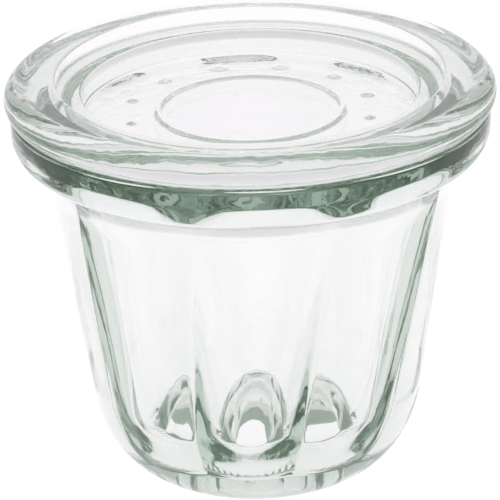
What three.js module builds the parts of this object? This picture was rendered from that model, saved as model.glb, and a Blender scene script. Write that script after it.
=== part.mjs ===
// Empty glass canning jar with its loose glass lid. Units are millimetres.
// +Z is up, the camera side is -Y, and the origin is the centre of the base.
import * as THREE from 'three';

// Jar, outside
const baseFlatRadius = 18.5;
const baseHollowRadius = 10.0;
const baseHollowHeight = 13.0;
const wallRadiusAtFoot = 28.2;
const wallSlope = 0.15;
const baseCornerTop = 14.3;
const wallTop = 61.2;
const collarCentreRadius = 38.05;
const collarCentreHeight = 66.2;
const collarRound = 5.0;
const collarFaceTop = 69.0;
const rimTop = 69.8;

// Jar, inside
const mouthRadius = 35.5;
const shoulderTop = 67.8;
const shoulderFootRadius = 32.6;
const shoulderFootHeight = 63.5;
const fluteTop = 62.8;
const floorHeight = 6.6;
const floorCornerHeight = 10.0;
const valleyShare = 0.6;
const domeHeight = 10.0;
const domeRadius = 16.0;
const domeFullness = 1.1;
const fluteCount = 8;
const lobeRadiusAtBase = 24.2;
const lobeSlope = 0.135;
const ridgeRadiusAtBase = 20.2;
const ridgeSlope = 0.185;
const ridgeAngleAtFoot = THREE.MathUtils.degToRad(-29);
const twistPerMillimetre = THREE.MathUtils.degToRad(0.165);
const ridgeSoftness = 0.1;

// Lid
const lidRadius = 44;
const lidEquator = 72.3;
const lidTop = 75.5;
const lidFlatOuter = 39.8;
const lidFlatInner = 35.3;
const lidStepHeight = 72.6;
const lidStepInner = 30.2;
const lidFloor = 68.3;
const lidUnderside = 64.2;
const plugRadius = 33.2;
const seatHeight = 70.1;
const seatOuter = 42.2;

const jarSegments = 80;
const lidSegments = 64;

// Points along a quarter of an ellipse, from one angle to another in degrees.
function arc(centreR, centreZ, spanR, spanZ, fromDeg, toDeg, steps) {
  const points = [];
  for (let i = 0; i <= steps; i += 1) {
    const angle = THREE.MathUtils.degToRad(fromDeg + ((toDeg - fromDeg) * i) / steps);
    points.push([centreR + spanR * Math.cos(angle), centreZ + spanZ * Math.sin(angle)]);
  }
  return points;
}

// Points along a rounded corner: a conic from one point to another, drawn towards a corner point.
function roundedCorner(start, corner, end, steps) {
  const pull = Math.SQRT1_2;
  const points = [];
  for (let i = 0; i <= steps; i += 1) {
    const t = i / steps;
    const a = (1 - t) * (1 - t);
    const b = 2 * pull * t * (1 - t);
    const c = t * t;
    const sum = a + b + c;
    points.push([0, 1].map((k) => (a * start[k] + b * corner[k] + c * end[k]) / sum));
  }
  return points;
}

// Radius of the fluted inner wall: broad lobes outwards, narrower ridges inwards, turning as they rise.
function fluteRadius(z, azimuth) {
  const lobe = lobeRadiusAtBase + lobeSlope * z;
  const ridge = ridgeRadiusAtBase + ridgeSlope * z;
  const ridgeAngle = ridgeAngleAtFoot + twistPerMillimetre * z;
  const swing = Math.sin(0.5 * fluteCount * (azimuth - ridgeAngle));
  const soft = Math.hypot(swing, ridgeSoftness);
  const lift = (soft - ridgeSoftness) / (Math.hypot(1, ridgeSoftness) - ridgeSoftness);
  return ridge + (lobe - ridge) * lift;
}

// Revolves a profile of [radius, height] rows about Z. A row with a third number is fluted: its first
// number is a share of the fluted radius, and the third says how far it has become a plain circle.
function revolve(name, profile, segments, material) {
  const points = profile.map(([r, z]) => new THREE.Vector2(r, z));
  const geometry = new THREE.LatheGeometry(points, segments);
  geometry.rotateX(Math.PI / 2);
  const position = geometry.attributes.position;
  for (let i = 0; i < position.count; i += 1) {
    const [share, z, roundness] = profile[i % points.length];
    if (roundness !== undefined) {
      const azimuth = (2 * Math.PI * Math.floor(i / points.length)) / segments;
      const circle = domeRadius / valleyShare;
      const radius = share * THREE.MathUtils.lerp(fluteRadius(z, azimuth), circle, roundness);
      position.setXYZ(i, radius * Math.sin(azimuth), -radius * Math.cos(azimuth), z);
    }
  }
  geometry.computeVertexNormals();
  const mesh = new THREE.Mesh(geometry, material);
  mesh.name = name;
  return mesh;
}

const glass = { metalness: 0, roughness: 0.05, transparent: true, opacity: 0.35 };
const jarGlass = new THREE.MeshStandardMaterial({ name: 'jar_glass', color: 0xdcebe0, ...glass });
const lidGlass = new THREE.MeshStandardMaterial({ name: 'lid_glass', color: 0xe2eee6, ...glass });

// Jar outside: hollow under the dome, flat base ring, rounded base corner, plain cone, collar, flat rim.
const wallRadius = (z) => wallRadiusAtFoot + wallSlope * z;
const jarOutside = [
  [0, baseHollowHeight],
  ...arc(0, 0, baseHollowRadius, baseHollowHeight, 75, 0, 5),
  ...roundedCorner(
    [baseFlatRadius, 0],
    [wallRadius(0), 0],
    [wallRadius(baseCornerTop), baseCornerTop],
    7,
  ),
  [wallRadius(wallTop), wallTop],
  ...arc(collarCentreRadius, collarCentreHeight, collarRound, collarRound, -78, 0, 5),
  [collarCentreRadius + collarRound, collarFaceTop],
  ...arc(collarCentreRadius + collarRound - 0.8, collarFaceTop, 0.8, rimTop - collarFaceTop, 45, 90, 1),
];

// Jar mouth: rim edge, straight mouth and the sloping shoulder over the fluted wall.
const jarMouth = [
  [mouthRadius + 0.5, rimTop],
  [mouthRadius, rimTop - 0.5],
  [mouthRadius - 0.1, shoulderTop],
  [shoulderFootRadius, shoulderFootHeight],
];

// Fluted inside, as shares of the fluted radius: wall going down, rounded valley, low dome in the middle.
const wallRows = 12;
const cornerRows = 7;
const domeRows = 6;
const cornerTop = floorHeight + floorCornerHeight;
const jarFluted = [[1, fluteTop, 0]];
for (let i = 1; i <= wallRows; i += 1) {
  jarFluted.push([1, fluteTop + ((cornerTop - fluteTop) * i) / wallRows, 0]);
}
for (let i = 1; i <= cornerRows; i += 1) {
  const angle = (0.5 * Math.PI * i) / cornerRows;
  const share = valleyShare + (1 - valleyShare) * Math.cos(angle);
  jarFluted.push([share, cornerTop - floorCornerHeight * Math.sin(angle), 0]);
}
for (let i = 1; i < domeRows; i += 1) {
  const inward = i / domeRows;
  const rise = (1 - (1 - inward) ** 2) ** domeFullness;
  jarFluted.push([valleyShare * (1 - inward), floorHeight + domeHeight * rise, Math.min(1, 2 * inward)]);
}

const jarProfile = [...jarOutside, ...jarMouth, ...jarFluted, [0, floorHeight + domeHeight]];
const jar = revolve('jar', jarProfile, jarSegments, jarGlass);

// Lid: plug that sits in the mouth, seat over the rim, rounded outer edge, stepped recess on top.
const lidProfile = [
  [0, lidUnderside],
  [plugRadius - 2.2, lidUnderside],
  ...arc(plugRadius - 1.8, lidUnderside + 1.8, 1.8, 1.8, -60, 0, 2),
  [plugRadius + 0.1, seatHeight - 0.5],
  [plugRadius + 0.6, seatHeight],
  [seatOuter, seatHeight],
  ...arc(seatOuter, lidEquator, lidRadius - seatOuter, lidEquator - seatHeight, -45, 0, 2),
  ...arc(lidFlatOuter, lidEquator, lidRadius - lidFlatOuter, lidTop - lidEquator, 22.5, 90, 3),
  [lidFlatInner, lidTop],
  [lidFlatInner - 0.5, lidTop - 0.5],
  [lidFlatInner - 0.7, lidStepHeight + 0.4],
  [lidFlatInner - 1.1, lidStepHeight],
  [lidStepInner + 0.4, lidStepHeight],
  [lidStepInner, lidStepHeight - 0.4],
  [lidStepInner - 0.2, lidFloor + 0.6],
  [lidStepInner - 0.8, lidFloor],
  [0, lidFloor],
];
const lid = revolve('lid', lidProfile, lidSegments, lidGlass);

const group = new THREE.Group();
group.add(jar, lid);
export default group;
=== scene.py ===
# Small glass canning jar with its loose glass lid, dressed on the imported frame
import math

import bpy
import numpy as np
from mathutils import Matrix, Vector


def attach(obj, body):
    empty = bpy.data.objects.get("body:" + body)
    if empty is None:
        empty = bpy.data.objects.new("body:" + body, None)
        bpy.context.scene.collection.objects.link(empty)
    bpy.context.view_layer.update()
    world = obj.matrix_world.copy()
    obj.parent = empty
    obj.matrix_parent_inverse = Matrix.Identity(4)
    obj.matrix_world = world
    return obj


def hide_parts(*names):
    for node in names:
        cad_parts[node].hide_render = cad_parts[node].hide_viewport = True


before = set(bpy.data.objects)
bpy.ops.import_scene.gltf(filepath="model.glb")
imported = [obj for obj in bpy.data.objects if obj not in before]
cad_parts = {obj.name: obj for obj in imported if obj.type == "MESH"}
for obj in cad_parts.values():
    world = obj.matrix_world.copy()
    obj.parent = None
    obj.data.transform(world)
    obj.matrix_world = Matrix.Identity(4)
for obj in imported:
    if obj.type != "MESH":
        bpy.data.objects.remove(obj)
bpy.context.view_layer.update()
mm = 0.001


# Quarter of an ellipse as a row of (radius, height) points, between two angles in degrees.
def roundEdge(centreR, centreZ, spanR, spanZ, fromDeg, toDeg, steps):
    angle = np.radians(np.linspace(fromDeg, toDeg, steps))
    return np.stack([centreR + spanR * np.cos(angle), centreZ + spanZ * np.sin(angle)], 1)


# Conic corner: the weighted mean of start, corner and end, with the corner weighted by cos 45 degrees.
def conicCorner(start, corner, end, steps):
    t = np.linspace(0, 1, steps)[:, None]
    weights = [(1 - t) ** 2, math.sqrt(2) * t * (1 - t), t ** 2]
    total = weights[0] + weights[1] + weights[2]
    points = [np.array(p, float) for p in (start, corner, end)]
    return sum(w * p for w, p in zip(weights, points)) / total


# Straight run of points between two (radius, height) points, both ends included.
def straight(start, end, steps):
    t = np.linspace(0, 1, steps)[:, None]
    return (1 - t) * np.array(start, float) + t * np.array(end, float)


# Joins runs of points, leaving out a point that repeats the one before it.
def joinRuns(*runs):
    path = np.concatenate(runs)
    keep = np.ones(len(path), bool)
    keep[1:] = np.linalg.norm(np.diff(path, axis=0), axis=1) > 1e-4
    return path[keep]


# Closed skin from a grid of rings: rings[i, j] is point j of ring i, and both ends close on pole points.
def ringSkin(name, rings, startPole, endPole):
    rows, cols = rings.shape[:2]
    verts = np.concatenate([rings.reshape(-1, 3), [startPole, endPole]]) * mm
    i, j = np.meshgrid(np.arange(rows - 1), np.arange(cols), indexing="ij")
    k = (j + 1) % cols
    quads = np.stack([i * cols + j, i * cols + k, (i + 1) * cols + k, (i + 1) * cols + j], -1)
    quads = quads.reshape(-1, 4)
    j = np.arange(cols)
    k = (j + 1) % cols
    first = np.stack([np.full(cols, rows * cols), k, j], 1)
    base = (rows - 1) * cols
    last = np.stack([np.full(cols, rows * cols + 1), base + j, base + k], 1)
    mesh = bpy.data.meshes.new(name)
    mesh.from_pydata(verts.tolist(), [], quads.tolist() + first.tolist() + last.tolist())
    mesh.polygons.foreach_set("use_smooth", np.ones(len(mesh.polygons), bool))
    mesh.update()
    piece = bpy.data.objects.new(name, mesh)
    bpy.context.collection.objects.link(piece)
    return piece


# Rings of a profile turned about Z: azimuth 0 is towards the camera side, -Y, and grows towards +X.
def turned(profile, azimuth):
    r, z = profile[:, 0][:, None], profile[:, 1][:, None]
    a = azimuth[None, :]
    return np.stack([r * np.sin(a), -r * np.cos(a), z + 0 * a], -1)


jarForm = {
    "segments": 384,
    "pushUp": (10.0, 13.0), "pushUpLip": 1.6,
    "knurls": 48, "knurlMiddle": 14.4, "knurlReach": 1.9, "knurlDepth": 0.22,
    "baseFlat": 18.5, "footRadius": 28.2, "wallSlope": 0.15, "cornerTop": 14.3, "wallTop": 61.2,
    "collarCentre": (38.05, 66.2), "collarRound": 5.0, "collarFaceTop": 69.0,
    "rimTop": 69.8, "rimEdge": 0.8,
    "mouth": 35.5, "mouthEdge": 0.5, "mouthDraft": 0.1,
    "shoulderTop": 67.8, "shoulderFoot": (32.6, 63.5), "ledge": 62.8,
    "floor": 6.6, "floorCorner": 10.0, "valley": 0.60,
    "domeHeight": 10.0, "domeRadius": 16.0, "domeFullness": 1.1,
    "wallRows": 40, "cornerRows": 30, "domeRows": 30,
    "flutes": 8, "lobe": (24.2, 0.135), "ridge": (20.2, 0.185),
    "ridgeFoot": -29.0, "twist": 0.165, "softness": 0.05,
}


# Fluted radius: ridge + (lobe - ridge) * s, where s follows |sin| of half the flute count times the
# turned azimuth, rounded at its foot by a softness, so lobes are broad and ridges narrow.
def fluteRadius(z, azimuth, form):
    lobe = form["lobe"][0] + form["lobe"][1] * z
    ridge = form["ridge"][0] + form["ridge"][1] * z
    turn = np.radians(form["ridgeFoot"] + form["twist"] * z)
    soft = form["softness"]
    swing = np.hypot(np.sin(0.5 * form["flutes"] * (azimuth - turn)), soft)
    lift = (swing - soft) / (math.hypot(1, soft) - soft)
    return ridge + (lobe - ridge) * lift


# Jar: the outside and mouth are a turned profile, and the inside is shares of the fluted radius,
# going down the wall, round the corner and up the dome.
def makeJar(form):
    azimuth = np.linspace(0, 2 * np.pi, form["segments"], endpoint=False)
    wall = lambda z: form["footRadius"] + form["wallSlope"] * z
    cr, cz = form["collarCentre"]
    rad, top = form["collarRound"], form["rimTop"]
    face = cr + rad
    hollowR, hollowZ = form["pushUp"]
    lip, flat = form["pushUpLip"], form["baseFlat"]
    cornerZ, wallZ, faceZ = form["cornerTop"], form["wallTop"], form["collarFaceTop"]
    rimEdge, mouth, mouthEdge = form["rimEdge"], form["mouth"], form["mouthEdge"]
    throat = mouth - form["mouthDraft"]
    t = np.sin(np.linspace(0.03, 1, 22) * np.pi / 2)
    outside = joinRuns(
        np.stack([hollowR * t, lip + (hollowZ - lip) * (1 - t ** 2) ** 0.5], 1),
        conicCorner((hollowR, lip), (hollowR, 0), (hollowR + lip, 0), 7),
        straight((hollowR + lip, 0), (flat, 0), 16),
        conicCorner((flat, 0), (wall(0), 0), (wall(cornerZ), cornerZ), 30),
        straight((wall(cornerZ), cornerZ), (wall(wallZ), wallZ), 8),
        roundEdge(cr, cz, rad, rad, -80, 0, 22),
        straight((face, cz), (face, faceZ), 4),
        roundEdge(face - rimEdge, faceZ, rimEdge, top - faceZ, 0, 90, 7),
        straight((face - rimEdge, top), (mouth + mouthEdge, top), 6),
        roundEdge(mouth + mouthEdge, top - mouthEdge, mouthEdge, mouthEdge, 90, 180, 6),
        straight((mouth, top - mouthEdge), (throat, form["shoulderTop"]), 5),
        straight((throat, form["shoulderTop"]), form["shoulderFoot"], 8)[1:],
    )
    # Knurl on the base ring: short dashes, a raised cosine round the ring times a parabola across it.
    shell = turned(outside, azimuth)
    r, z = outside[:, 0][:, None], outside[:, 1][:, None]
    band = np.clip(1 - ((r - form["knurlMiddle"]) / form["knurlReach"]) ** 2, 0, 1) * (z < 0.01)
    shell[..., 2] += form["knurlDepth"] * band * (0.5 + 0.5 * np.cos(form["knurls"] * azimuth))
    floor, corner, valley = form["floor"], form["floorCorner"], form["valley"]
    wallRows = form["wallRows"]
    angle = np.linspace(0, np.pi / 2, form["cornerRows"] + 1)[1:]
    inward = np.linspace(0, 0.98, form["domeRows"] + 1)[1:]
    rise = (1 - (1 - inward) ** 2) ** form["domeFullness"]
    share = np.concatenate([
        np.ones(wallRows), valley + (1 - valley) * np.cos(angle), valley * (1 - inward)])
    height = np.concatenate([
        np.linspace(form["ledge"], floor + corner, wallRows),
        floor + corner - corner * np.sin(angle), floor + form["domeHeight"] * rise])
    roundness = np.concatenate([np.zeros(wallRows + len(angle)), np.minimum(1, 2 * inward)])[:, None]
    a, z = azimuth[None, :], height[:, None]
    circle = form["domeRadius"] / valley
    r = share[:, None] * ((1 - roundness) * fluteRadius(z, a, form) + roundness * circle)
    inside = np.stack([r * np.sin(a), -r * np.cos(a), z + 0 * a], -1)
    rings = np.concatenate([shell, inside])
    return ringSkin("jarBody", rings, (0, 0, hollowZ), (0, 0, floor + form["domeHeight"]))


lidForm = {
    "segments": 256,
    "radius": 44.0, "equator": 72.3, "top": 75.5, "flatOuter": 39.8, "flatInner": 35.3,
    "step": 72.6, "stepInner": 30.2, "floor": 68.3, "under": 64.2,
    "plug": 33.2, "plugRound": 1.8, "seat": 70.1, "seatOuter": 42.2,
    "edge": 0.5, "stepEdge": 0.4, "floorEdge": 0.6, "floorRows": 130,
    "ringRadius": 16.5, "ringWidth": 0.7,
    "dots": 12, "dotCircle": 22.0, "dotSize": 0.9, "relief": 0.35,
}


# Lid: one turned profile, from the middle of the underside round the edge to the middle of the recess floor.
def makeLid(form):
    azimuth = np.linspace(0, 2 * np.pi, form["segments"], endpoint=False)
    under, plug, plugRound = form["under"], form["plug"], form["plugRound"]
    seat, seatOuter, equator = form["seat"], form["seatOuter"], form["equator"]
    radius, top, flatOuter = form["radius"], form["top"], form["flatOuter"]
    inner, step, stepIn, floor = form["flatInner"], form["step"], form["stepInner"], form["floor"]
    edge, stepEdge, floorEdge = form["edge"], form["stepEdge"], form["floorEdge"]
    floorRows = form["floorRows"]
    middle, draft = 0.4, 0.1
    pit = inner - edge - 2 * draft
    well = stepIn - 2 * draft
    profile = joinRuns(
        straight((middle, under), (plug - plugRound, under), 24),
        roundEdge(plug - plugRound, under + plugRound, plugRound, plugRound, -90, 0, 14),
        straight((plug, under + plugRound), (plug + draft, seat - edge), 8),
        roundEdge(plug + draft + edge, seat - edge, edge, edge, 180, 90, 6),
        straight((plug + draft + edge, seat), (seatOuter, seat), 10),
        roundEdge(seatOuter, equator, radius - seatOuter, equator - seat, -90, 0, 18),
        roundEdge(flatOuter, equator, radius - flatOuter, top - equator, 0, 90, 26),
        straight((flatOuter, top), (inner, top), 8),
        roundEdge(inner, top - edge, edge, edge, 90, 180, 8),
        straight((inner - edge, top - edge), (pit, step + stepEdge), 8),
        roundEdge(pit - stepEdge, step + stepEdge, stepEdge, stepEdge, 0, -90, 6),
        straight((pit - stepEdge, step), (stepIn + stepEdge, step), 8),
        roundEdge(stepIn + stepEdge, step - stepEdge, stepEdge, stepEdge, 90, 180, 7),
        straight((stepIn, step - stepEdge), (well, floor + floorEdge), 12),
        roundEdge(well - floorEdge, floor + floorEdge, floorEdge, floorEdge, 0, -90, 8),
        straight((well - floorEdge, floor), (middle, floor), floorRows),
    )
    # Relief on the recess floor: a low plain ring, a bell curve of the radius, and round dots on a wider
    # circle, bell curves of the distance to the nearest dot.
    rings = turned(profile, azimuth)
    r = profile[-floorRows:, 0][:, None]
    pitch = 2 * np.pi / form["dots"]
    aside = form["dotCircle"] * ((azimuth / pitch) % 1 - 0.5) * pitch
    dotAway = np.hypot(r - form["dotCircle"], aside)
    ring = np.exp(-((r - form["ringRadius"]) / form["ringWidth"]) ** 2)
    rings[-floorRows:, :, 2] += form["relief"] * (ring + np.exp(-(dotAway / form["dotSize"]) ** 2))
    return ringSkin("lidDisc", rings, (0, 0, form["under"]), (0, 0, floor))


# Waviness group: slow noise stretched by a vector scale, as the height of a weak bump.
def makeWaviness():
    group = bpy.data.node_groups.new("glassWaviness", "ShaderNodeTree")
    group.interface.new_socket("Stretch", in_out="INPUT", socket_type="NodeSocketVector")
    group.interface.new_socket("Depth", in_out="INPUT", socket_type="NodeSocketFloat")
    group.interface.new_socket("Normal", in_out="OUTPUT", socket_type="NodeSocketVector")
    nodes, links = group.nodes, group.links
    start = nodes.new("NodeGroupInput")
    end = nodes.new("NodeGroupOutput")
    place = nodes.new("ShaderNodeTexCoord")
    scale = nodes.new("ShaderNodeVectorMath")
    scale.operation = "MULTIPLY"
    slow = nodes.new("ShaderNodeTexNoise")
    slow.inputs["Scale"].default_value = 1.0
    slow.inputs["Detail"].default_value = 2.0
    slow.inputs["Roughness"].default_value = 0.4
    bump = nodes.new("ShaderNodeBump")
    bump.inputs["Distance"].default_value = 0.001
    links.new(place.outputs["Object"], scale.inputs[0])
    links.new(start.outputs["Stretch"], scale.inputs[1])
    links.new(scale.outputs["Vector"], slow.inputs["Vector"])
    links.new(start.outputs["Depth"], bump.inputs["Strength"])
    links.new(slow.outputs["Fac"], bump.inputs["Height"])
    links.new(bump.outputs["Normal"], end.inputs["Normal"])
    return group


glassWaviness = makeWaviness()
jarLook = {"ior": 1.52, "roughness": 0.0, "tint": (0.22, 0.42, 0.265), "density": 20.0,
           "stretch": (260, 260, 60), "depth": 0.06}
lidLook = {"ior": 1.52, "roughness": 0.0, "tint": (0.22, 0.42, 0.265), "density": 12.0,
           "stretch": (230, 230, 230), "depth": 0.06}


def makeGlass(name, look):
    mat = bpy.data.materials.new(name)
    mat.use_nodes = True
    tree = mat.node_tree
    tree.nodes.clear()
    out = tree.nodes.new("ShaderNodeOutputMaterial")
    skin = tree.nodes.new("ShaderNodeBsdfPrincipled")
    skin.inputs["Base Color"].default_value = (1, 1, 1, 1)
    skin.inputs["Roughness"].default_value = look["roughness"]
    skin.inputs["IOR"].default_value = look["ior"]
    skin.inputs["Metallic"].default_value = 0
    skin.inputs["Transmission Weight"].default_value = 1
    wavy = tree.nodes.new("ShaderNodeGroup")
    wavy.node_tree = glassWaviness
    wavy.inputs["Stretch"].default_value = look["stretch"]
    wavy.inputs["Depth"].default_value = look["depth"]
    body = tree.nodes.new("ShaderNodeVolumeAbsorption")
    body.inputs["Color"].default_value = (*look["tint"], 1)
    body.inputs["Density"].default_value = look["density"]
    tree.links.new(wavy.outputs["Normal"], skin.inputs["Normal"])
    tree.links.new(skin.outputs["BSDF"], out.inputs["Surface"])
    tree.links.new(body.outputs["Volume"], out.inputs["Volume"])
    return mat


jarGlass = makeGlass("jarGlass", jarLook)
lidGlass = makeGlass("lidGlass", lidLook)

jar = makeJar(jarForm)
jar.data.materials.append(jarGlass)
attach(jar, "root")
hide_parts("jar")
print("jar made:", len(jar.data.polygons), "faces")

lid = makeLid(lidForm)
lid.data.materials.append(lidGlass)
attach(lid, "root")
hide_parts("lid")
print("lid made:", len(lid.data.polygons), "faces")


studio = {"floorRadius": 4.0, "floorGlow": 1.0, "cast": (1.07, 1.02, 1.065), "ramp": [
    (0.00, 0.98), (0.10, 0.94), (0.25, 0.80), (0.60, 0.72), (0.80, 0.9), (1.0, 0.95)]}


def makeStudio(look):
    count = 96
    a = np.linspace(0, 2 * np.pi, count, endpoint=False)
    verts = np.stack([look["floorRadius"] * np.cos(a), look["floorRadius"] * np.sin(a), 0 * a - 0.0002], 1)
    mesh = bpy.data.meshes.new("studioFloor")
    mesh.from_pydata(verts.tolist(), [], [list(range(count))])
    floor = bpy.data.objects.new("studioFloor", mesh)
    bpy.context.collection.objects.link(floor)
    mat = bpy.data.materials.new("paleFloor")
    mat.use_nodes = True
    skin = mat.node_tree.nodes["Principled BSDF"]
    skin.inputs["Base Color"].default_value = (0.06, 0.06, 0.06, 1)
    skin.inputs["Roughness"].default_value = 1.0
    skin.inputs["Specular IOR Level"].default_value = 0.0
    skin.inputs["Emission Color"].default_value = (*look["cast"], 1)
    skin.inputs["Emission Strength"].default_value = look["floorGlow"]
    mesh.materials.append(mat)

    world = bpy.data.worlds.new("studioLight")
    bpy.context.scene.world = world
    world.use_nodes = True
    tree = world.node_tree
    tree.nodes.clear()
    out = tree.nodes.new("ShaderNodeOutputWorld")
    light = tree.nodes.new("ShaderNodeBackground")
    where = tree.nodes.new("ShaderNodeTexCoord")
    split = tree.nodes.new("ShaderNodeSeparateXYZ")
    ramp = tree.nodes.new("ShaderNodeValToRGB")
    stops = ramp.color_ramp.elements
    while len(stops) < len(look["ramp"]):
        stops.new(0.5)
    for stop, (place, value) in zip(stops, look["ramp"]):
        stop.position = place
        stop.color = (*(value * c / 2 for c in look["cast"]), 1)
    light.inputs["Strength"].default_value = 2.0
    tree.links.new(where.outputs["Generated"], split.inputs["Vector"])
    tree.links.new(split.outputs["Z"], ramp.inputs["Fac"])
    tree.links.new(ramp.outputs["Color"], light.inputs["Color"])
    tree.links.new(light.outputs["Background"], out.inputs["Surface"])


makeStudio(studio)

shot = {"away": 503.17, "height": 260.07, "pitch": 0.41128, "roll": -0.02531,
        "frame": 500, "sensor": 36.0, "focal": 3000.0, "across": 4.04}


def makeCamera(look):
    data = bpy.data.cameras.new("shotCamera")
    data.sensor_width = look["sensor"]
    data.lens = look["focal"] / look["frame"] * look["sensor"]
    data.shift_x = -look["across"] / look["frame"]
    data.clip_start = 0.01
    data.clip_end = 50
    cam = bpy.data.objects.new("shotCamera", data)
    bpy.context.collection.objects.link(cam)
    e, roll = look["pitch"], look["roll"]
    ahead = Vector((0, math.cos(e), -math.sin(e)))
    side = Vector((1, 0, 0))
    up = side.cross(ahead)
    right = math.cos(roll) * side + math.sin(roll) * up
    top = -math.sin(roll) * side + math.cos(roll) * up
    turn = Matrix((right, top, -ahead)).transposed().to_4x4()
    place = Vector((0, -look["away"], look["height"])) * mm
    cam.matrix_world = Matrix.Translation(place) @ turn
    bpy.context.scene.camera = cam


makeCamera(shot)

scene = bpy.context.scene
scene.view_settings.view_transform = "Standard"
glassBounces = 96  # thick edges pass light on many times before it leaves
scene.cycles.max_bounces = glassBounces
scene.cycles.transmission_bounces = glassBounces
scene.cycles.glossy_bounces = glassBounces
